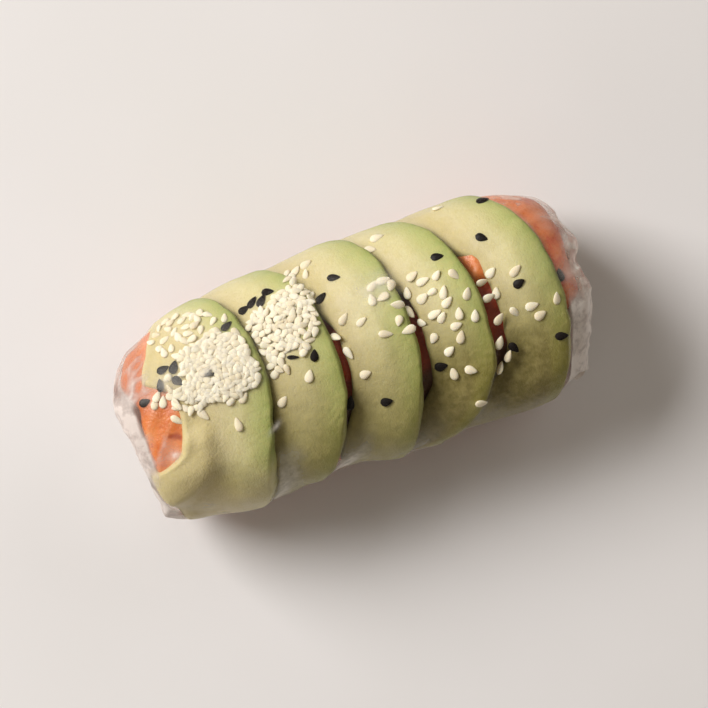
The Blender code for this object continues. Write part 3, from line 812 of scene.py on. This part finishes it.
# the two drifts of white seeds, dense in the middle and thinning out
rng = np.random.default_rng(21)
for cx, cy, rx, ry, turn, count, spacing in (
        (-32.0, 8.0, 10.5, 6.4, -6, 240, 0.80), (-29.0, 4.4, 9.5, 3.6, 0, 80, 0.9), (-27.0, 12.5, 6.5, 4.6, 20, 80, 0.9),
        (-38.5, 5.0, 4.0, 4.5, 0, 30, 1.1), (-32.5, 17.0, 10.0, 5.0, -10, 38, 1.8),
        (-13.0, 12.0, 7.7, 7.0, 0, 120, 1.05), (-14.5, 6.2, 6.6, 3.6, 10, 34, 1.2), (-8.5, 15.5, 4.0, 4.2, 0, 30, 1.1),
        (-6.5, 21.6, 3.2, 1.6, 0, 6, 1.8), (9.0, 11.5, 5.0, 2.0, 0, 3, 2.0), (20.0, 4.0, 8.0, 8.0, 0, 8, 2.6)):
    made = tries = 0
    while made < count and tries < count * 14:
        tries += 1
        r, a = math.sqrt(rng.uniform()) ** 1.15, rng.uniform(0, 2 * math.pi)
        dx, dy, t = rx * r * math.cos(a), ry * r * math.sin(a), math.radians(turn)
        x, y = cx + dx * math.cos(t) - dy * math.sin(t), cy + dx * math.sin(t) + dy * math.cos(t)
        edge = -20.4 - 0.011 * (y - 3.0) ** 2                  # the first slice's skin edge stays bare
        if -1.5 < x - edge < 1.6:
            continue
        made += white.add(x, y, others=(black,), spacing=spacing, tilt=8.0, size=0.87 if spacing < 2.0 else 1.05)

white_seeds, verts, quads, tris = white.build(seed_material("hulled_sesame", srgb(249, 240, 217), srgb(230, 214, 182), 0.55))
solids.append((verts, quads, tris))
black_seeds, verts, quads, tris = black.build(seed_material("dark_sesame", srgb(24, 14, 8), srgb(11, 7, 4), 0.62))
solids.append((verts, quads, tris))

# ---------------------------------------------------------------- the sheet
everything = search_tree(solids)


def spaced(start, end, step):
    return list(np.arange(start, end, step if end > start else -step))


def drift(points):
    """How thickly the white seeds lie near each point, 0 to 1."""
    spots = np.array([list(spot) for spot in white.spots])
    total = np.zeros(points.shape[:-1])
    for x, y, z in spots:
        gap = ((points - np.array([x, y, z])) ** 2).sum(axis=-1)
        total += np.exp(-gap / 8.0)
    return np.clip(total / 6.0, 0.0, 1.0)


def make_film():
    turns = spaced(205.0, 104.0, 3.2) + spaced(104.0, -104.0, 1.16) + spaced(-104.0, -250.0, 3.2) + [-250.0]
    psi_run = np.array(turns)
    half_side = np.linspace(0, 0.7, 132)
    half_end = np.linspace(0.7, 1.0, 42)[1:]
    half = np.concatenate([half_side, half_end])
    along = np.concatenate([-half[::-1], half[1:]])[:, None]
    psi = ((psi_run + 180.0) % 360.0 - 180.0)[None, :]
    round_part = ((SHEET_START - psi_run) / SHEET_TURN)[None, :]
    base = film_form(along, psi)
    # outward normals of the smooth form
    du = np.gradient(base, axis=0)
    dv = np.gradient(base, axis=1)
    normal = np.cross(du, dv)
    normal /= np.linalg.norm(normal, axis=-1, keepdims=True) + 1e-12
    centre = np.array([0.0, SHIFT[1], AXIS_HEIGHT])
    flip = np.sign(np.einsum("ijk,ijk->ij", normal, base - centre))
    normal *= flip[..., None]
    rows, columns = base.shape[:2]
    # height of what lies below, along each normal
    below = np.full((rows, columns), -6.0)
    reach = 5.0
    for i in range(rows):
        for j in range(columns):
            p = base[i, j] + normal[i, j] * reach
            hit = everything.ray_cast(Vector(p), Vector(-normal[i, j]), reach + 6.0)
            if hit[0] is not None:
                below[i, j] = reach - hit[3]
    end_zone = smooth(0.66, 0.74, np.abs(along))
    floor = mix(-6.0, -0.25, end_zone) + 0 * psi
    lowest = np.maximum(below + 0.07, floor)
    # drawn tight: start as a loose cover and let the tension pull it in until it touches
    height = lowest.copy()
    for _ in range(9):
        spread = height.copy()
        spread[1:] = np.maximum(spread[1:], height[:-1])
        spread[:-1] = np.maximum(spread[:-1], height[1:])
        spread[:, 1:] = np.maximum(spread[:, 1:], height[:, :-1])
        spread[:, :-1] = np.maximum(spread[:, :-1], height[:, 1:])
        height = spread
    step_u = np.linalg.norm(np.diff(base, axis=0), axis=-1)
    step_v = np.linalg.norm(np.diff(base, axis=1), axis=-1)
    wu = 1.0 / (0.5 * (step_u[1:, 1:-1] + step_u[:-1, 1:-1]) ** 2 + 0.02)
    wv = 1.0 / (0.5 * (step_v[1:-1, 1:] + step_v[1:-1, :-1]) ** 2 + 0.02)
    for _ in range(260):
        spot = base + normal * height[..., None]
        mean = (wu[..., None] * (spot[2:, 1:-1] + spot[:-2, 1:-1]) + wv[..., None] * (spot[1:-1, 2:] + spot[1:-1, :-2])) \
            / (2 * (wu + wv))[..., None]
        pulled = np.einsum("ijk,ijk->ij", mean - base[1:-1, 1:-1], normal[1:-1, 1:-1])
        height[1:-1, 1:-1] = np.maximum(lowest[1:-1, 1:-1], pulled)
    close = lowest.copy()
    for _ in range(10):
        close[1:-1, 1:-1] = np.maximum(lowest[1:-1, 1:-1], 0.25 * (
            close[2:, 1:-1] + close[:-2, 1:-1] + close[1:-1, 2:] + close[1:-1, :-2]))
    stick = mix(1.1, 0.25, smooth(30.0, 55.0, psi)) * (1 - smooth(0.66, 0.76, np.abs(along)) * 0.8)
    slack = np.maximum(height - close, 0.0)
    height = close + np.sqrt(np.maximum(slack - stick, 0.0) ** 2 + 0.04) - 0.2 + 0.2 * np.minimum(slack, stick)
    for _ in range(4):
        height[1:-1, 1:-1] = np.maximum(lowest[1:-1, 1:-1] - 0.02, 0.5 * height[1:-1, 1:-1] + 0.125 * (
            height[2:, 1:-1] + height[:-2, 1:-1] + height[1:-1, 2:] + height[1:-1, :-2]))
    gap = np.clip(height - below, 0.0, 4.0)
    spot = base + normal * height[..., None]
    # wrinkles, most where the sheet is loose
    loose = smooth(0.15, 1.0, gap)
    lines = 1.0 - np.abs(noise(spot * np.array([1.0, 0.45, 0.45]), 2.4, 70))
    height = height + 0.10 * loose * lines ** 3 + 0.015 * noise(spot, 2.0, 71)
    # the folded ends: pleats drawn in towards the middle
    end = smooth(0.70, 0.80, np.abs(along))
    inward = smooth(0.78, 1.0, np.abs(along))
    side = np.sign(along)
    pleat = np.sin(np.radians(psi) * np.where(side < 0, 9, 11) + 2.2 * noise(
        np.stack(np.broadcast_arrays(psi / 40.0, side * 5.0, np.abs(along) * 4.0), axis=-1), 1.0, 72))
    pleat = pleat * (0.55 + 0.75 * noise(np.stack(np.broadcast_arrays(psi / 26.0, side * 3.0, np.abs(along) * 2.0), axis=-1), 1.0, 76))
    crease = sum(a * (0.5 - np.abs(noise(spot * np.array([0.6, 1.0, 1.0]) + 2.5 * noise(spot, 7.0, 75)[..., None], size, 74)))
                 for a, size in ((0.8, 6.0), (0.4, 2.8), (0.2, 1.4)))
    ridges = 0.5 - np.abs(noise(np.stack([0.25 * spot[..., 0], spot[..., 1], 0.6 * spot[..., 2]], axis=-1), 3.3, 88))
    height = height + 0.9 * (side > 0) * smooth(0.68, 0.80, np.abs(along)) * (1 - inward) * ridges
    height = height + end * (0.8 * crease + 0.45 * pleat * inward - 1.2 * inward ** 2)
    # layers of the wound sheet
    layer = LAYER_SPACING * round_part * SHEET_TURN / 360.0
    under = smooth(100.0, 112.0, psi_run)[None, :] + smooth(-100.0, -112.0, psi_run)[None, :]
    wound = np.clip(under, 0, 1) * (0.12 + 0.6 * layer)
    height = height + wound * (1 - 0.7 * inward)
    points = base + normal * height[..., None]
    points[..., 2] -= 0.9 * (1 - smooth(1.2, 5.0, points[..., 2]))     # its weight settles it on the surface
    lift = np.where(round_part < 0.4, 0.5, 0.12)
    points[..., 2] = np.maximum(points[..., 2], lift)
    index = np.arange(rows * columns).reshape(rows, columns)
    quads = np.stack([index[:-1, :-1], index[1:, :-1], index[1:, 1:], index[:-1, 1:]], axis=-1).reshape(-1, 4)
    facing = np.einsum("ij,ij->i", np.cross(
        points.reshape(-1, 3)[quads[:, 1]] - points.reshape(-1, 3)[quads[:, 0]],
        points.reshape(-1, 3)[quads[:, 3]] - points.reshape(-1, 3)[quads[:, 0]]), normal.reshape(-1, 3)[quads[:, 0]])
    if np.median(facing) < 0:
        quads = quads[:, ::-1]
    # how milky the sheet is
    where = points
    x, y = points[..., 0], points[..., 1]
    patch = noise(where, 5.0, 80) * 0.6 + noise(where, 2.0, 81) * 0.4
    near_low = smooth(34.0, 60.0, psi) * (1 - smooth(150, 180, psi))
    far_low = smooth(-62.0, -100.0, psi)
    left, right = end * (along < 0), end * (along > 0)
    streak = np.clip(1.0 - 2.2 * np.abs(noise(where * np.array([0.5, 1.0, 1.0]), 3.2, 82)), 0, 1)
    haze = 0.006 + 0.006 * patch
    # bridges between the slices low on the near side, none before the last slice
    haze = haze + 0.08 * smooth(50.0, 64.0, psi) * (1 - smooth(110.0, 130.0, psi)) * (1 - smooth(5.0, 16.0, x)) * (1 + 0.6 * patch)
    haze = haze + near_low * (0.015 + 0.24 * smooth(0.25, 1.1, gap) * (1 - smooth(2.0, 10.0, x))) + far_low * 0.08
    for name, low, amount in (("avocado_1", 29.0, 0.36), ("avocado_2", 44.0, 0.34), ("avocado_3", 42.0, 0.07)):
        past = x - skin_edge(SLICES[name], psi)
        haze = haze + amount * smooth(-0.4, 0.8, past) * (1 - smooth(3.5, 8.5, past)) * smooth(low, low + 16.0, psi) * \
            (1 - smooth(110.0, 130.0, psi)) * (1 + 0.5 * patch)
    fold = smooth(0.28, 0.5, crease)
    pink = smooth(3.0, 8.0, y) * (1 - smooth(20.0, 23.0, y)) * smooth(43.0, 47.0, -x)
    haze = haze + pink * (0.10 + 0.50 * smooth(0.15, 0.95, streak) + 0.3 * patch)
    pocket = smooth(49.3, 50.5, -x + 0.5 * patch) * (1 - smooth(6.0, 12.0, y + 2.0 * patch)) * smooth(-13.0, -9.0, y + 1.5 * patch)
    haze = haze + left * (0.05 + 0.12 * streak + 0.06 * patch + 0.14 * fold) + 0.85 * pocket * (1 + 0.35 * patch)
    beyond_last = smooth(-0.2, 1.0, x - skin_edge(SLICES["avocado_5"], np.clip(psi, -90.0, 90.0))) * smooth(36.0, 42.0, x)
    blotch = smooth(0.02, 0.38, 0.75 * noise(where * np.array([0.8, 1.0, 1.0]), 4.2, 84) + 0.5 * noise(where, 1.6, 85))
    haze = haze + beyond_last * (0.02 + 0.5 * blotch)
    lower_right = smooth(-3.0, -7.5, y + 2.6 * patch) * beyond_last
    haze = haze + right * (0.05 + 0.55 * streak * np.clip(0.4 + 1.2 * patch, 0, 1) + 0.25 * fold) + 1.0 * lower_right * (1 + 0.3 * patch)
    haze = haze + 0.45 * bump(x, 53.6, 1.3) * bump(y, 6.5, 1.3) + 0.25 * bump(x, 50.5, 2.0) * bump(y, 13.5, 2.2) * streak
    haze = haze + 0.30 * bump(x, 50.6, 2.0) * bump(y, 0.5, 4.2) * (1 + 0.8 * patch) + 0.25 * bump(x, 53.2, 1.6) * bump(y, 5.0, 2.5)
    haze = haze + end * 0.22 * inward
    haze = haze + np.clip(under, 0, 1) * 0.14
    haze = haze + 0.05 * smooth(0.25, 0.8, drift(points)) * (1 - end)
    # a milky patch over the third slice's top, partly painted sheen where the key lamp glares on the sheet
    haze = haze + 0.34 * bump(x, 9.8, 4.2) * bump(y, 12.4, 3.0) * (1 + 0.5 * patch) + 0.14 * bump(x, 6.0, 6.5) * bump(y, 11.5, 6.0)
    # painted highlight: a white streak for the glint of a small crease where it bridges from the first slice to the
    # second
    beside = np.abs((x + 21.9) * math.sin(math.radians(33.0)) - (y + 9.3) * math.cos(math.radians(33.0)))
    haze = haze + 1.0 * bump(beside, 0.0, 0.6) * bump(x, -21.9, 1.6) * bump(y, -9.3, 1.5)
    slant = noise(np.stack([0.75 * x - 0.66 * y, 0.25 * (0.66 * x + 0.75 * y), 0.0 * x], axis=-1), 1.5, 86)
    streak_off = (x + 48.2) * 0.654 - (y + 5.2) * 0.756
    streak_run = (x + 48.2) * 0.756 + (y + 5.2) * 0.654
    haze = haze + 0.52 * bump(streak_off, 0.0, 0.95) * (1 - smooth(3.0, 4.6, np.abs(streak_run))) * smooth(-0.55, 0.15, slant)
    haze = haze + 0.22 * bump(x, -47.0, 3.6) * bump(y, -7.0, 2.8) * smooth(-0.05, 0.25, slant)
    haze = haze + 0.20 * bump(x, -47.5, 4.0) * bump(y, -1.0, 3.5) * smooth(0.2, 0.4, slant)
    haze = haze + 0.60 * bump(x, -44.7, 1.2) * bump(y, -7.4, 1.1)
    haze = haze + 0.09 * bump(x, -33.0, 11.0) * bump(y, 18.5, 5.5)
    tongue = smooth(-0.2, 0.9, -51.6 + 2.8 * smooth(40.0, 78.0, psi) - x) * smooth(-11.5, -14.5, y) * (1 - smooth(100.0, 118.0, psi))
    haze = haze + 0.75 * tongue
    # it stands off the seeds at two places and looks bluish white there
    haze = haze + 0.26 * bump(x, -41.5, 3.6) * bump(y, 8.3, 3.0) + 0.42 * bump(x, -31.9, 1.8) * bump(y, 7.5, 1.1)
    haze = np.clip(haze, 0.004, 0.95)
    return new_object("rice_paper_film", points.reshape(-1, 3), quads, (),
                      {"haze": haze, "dull": np.clip(pocket + 0.5 * lower_right + pink * 0.9 + tongue, 0, 1)})


film = make_film()
film.data.materials.append(film_material())
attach(film, "root")
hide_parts("rice_paper")

# ---------------------------------------------------------------- floor, light and camera
bpy.ops.mesh.primitive_circle_add(vertices=96, radius=3.0, fill_type="NGON", location=(0, 0, 0))
floor = bpy.context.object
floor.name = "floor"
floor.data.materials.append(floor_material())

world = bpy.data.worlds.new("soft_room")
bpy.context.scene.world = world
world.use_nodes = True
back = world.node_tree.nodes["Background"]
back.inputs["Color"].default_value = srgb(240, 226, 206)
back.inputs["Strength"].default_value = 0.19


def softbox(name, way, distance, size, power, colour=(1.0, 1.0, 1.0)):
    """A square lamp, seen from the roll in the direction way, facing it."""
    lamp = bpy.data.lights.new(name, "AREA")
    lamp.shape = "SQUARE"
    lamp.size, lamp.energy, lamp.color = size, power, colour
    obj = bpy.data.objects.new(name, lamp)
    direction = Vector(way).normalized()
    obj.location = direction * distance + Vector((0, 0, 0.02))
    obj.rotation_euler = (-direction).to_track_quat("-Z", "Y").to_euler()
    bpy.context.scene.collection.objects.link(obj)
    return obj


softbox("key", (-0.52, 0.56, 0.65), 1.6, 0.85, 30.2, (1.0, 0.995, 0.995))
softbox("fill", (-1.0, -0.45, 0.5), 0.38, 0.3, 0.135, (1.0, 0.99, 0.97))

softbox("rim", (0.85, 0.35, 0.6), 2.0, 1.0, 4.8, (1.0, 0.98, 0.96))

tilt = math.radians(20.0)
camera_data = bpy.data.cameras.new("camera")
camera = bpy.data.objects.new("camera", camera_data)
bpy.context.scene.collection.objects.link(camera)
camera.location = (0.0, 0.0, 0.70)
camera.rotation_euler = (0.0, 0.0, -tilt)
camera_data.sensor_width = 36.0
camera_data.lens = 152.0
camera_data.clip_end = 20.0
bpy.context.scene.camera = camera
bpy.context.scene.view_settings.view_transform = "Standard"
